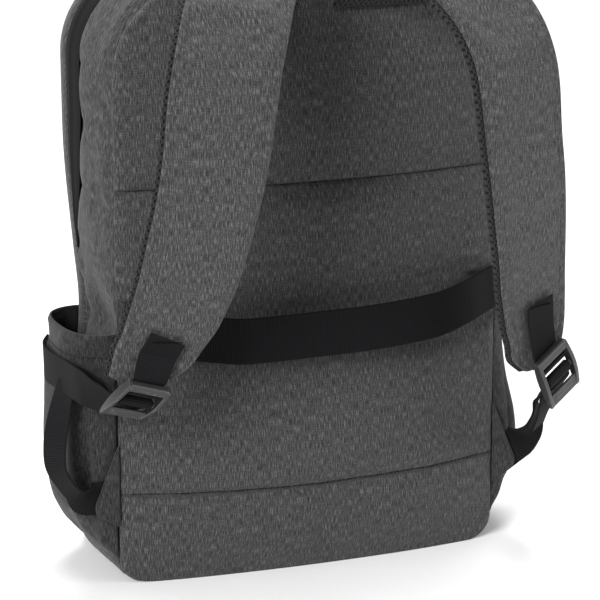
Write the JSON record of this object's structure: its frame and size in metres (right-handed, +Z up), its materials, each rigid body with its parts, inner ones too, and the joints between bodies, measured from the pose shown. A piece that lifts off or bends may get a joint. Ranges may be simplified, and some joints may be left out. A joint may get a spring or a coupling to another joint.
{
  "type": "laptop backpack",
  "caption": "Soft upright backpack for a laptop, with padded shoulder straps, side pockets, a top handle and a band across the back that slips over a suitcase handle.",
  "frame": {"origin": "on the flat base, in the middle of its width", "axes": "+Z up, -Y towards the wearer, +Y towards the bag's front, +X to the right when the straps are seen"},
  "size_m": [0.3752, 0.2748, 0.4621],
  "materials": {
    "heather_fabric": "matt heather polyester, fine upright slubs",
    "strap_fabric": "matt heather polyester, slightly lighter",
    "black_webbing": "ribbed polyester webbing",
    "air_mesh": "black spacer mesh with small openings",
    "buckle_plastic": "moulded, slight sheen",
    "zipper_tape": "plain woven tape with a nylon coil"
  },
  "bodies": {
    "root": {"back_panel": "heather_fabric", "rear_gusset": "heather_fabric", "front_shell": "heather_fabric", "main_zipper": "zipper_tape", "luggage_strap": "black_webbing", "grab_handle": "black_webbing", "side_pocket_left": "heather_fabric", "shoulder_pad_left": "strap_fabric", "pad_mesh_left": "air_mesh", "strap_patch_left": "black_webbing", "buckle_left": "buckle_plastic", "lower_strap_left": "black_webbing", "anchor_tab_left": "heather_fabric", "zipper_slider_left": "buckle_plastic", "side_pocket_right": "heather_fabric", "shoulder_pad_right": "strap_fabric", "pad_mesh_right": "air_mesh", "strap_patch_right": "black_webbing", "buckle_right": "buckle_plastic", "lower_strap_right": "black_webbing", "anchor_tab_right": "heather_fabric", "zipper_slider_right": "buckle_plastic"}
  },
  "joints": []
}
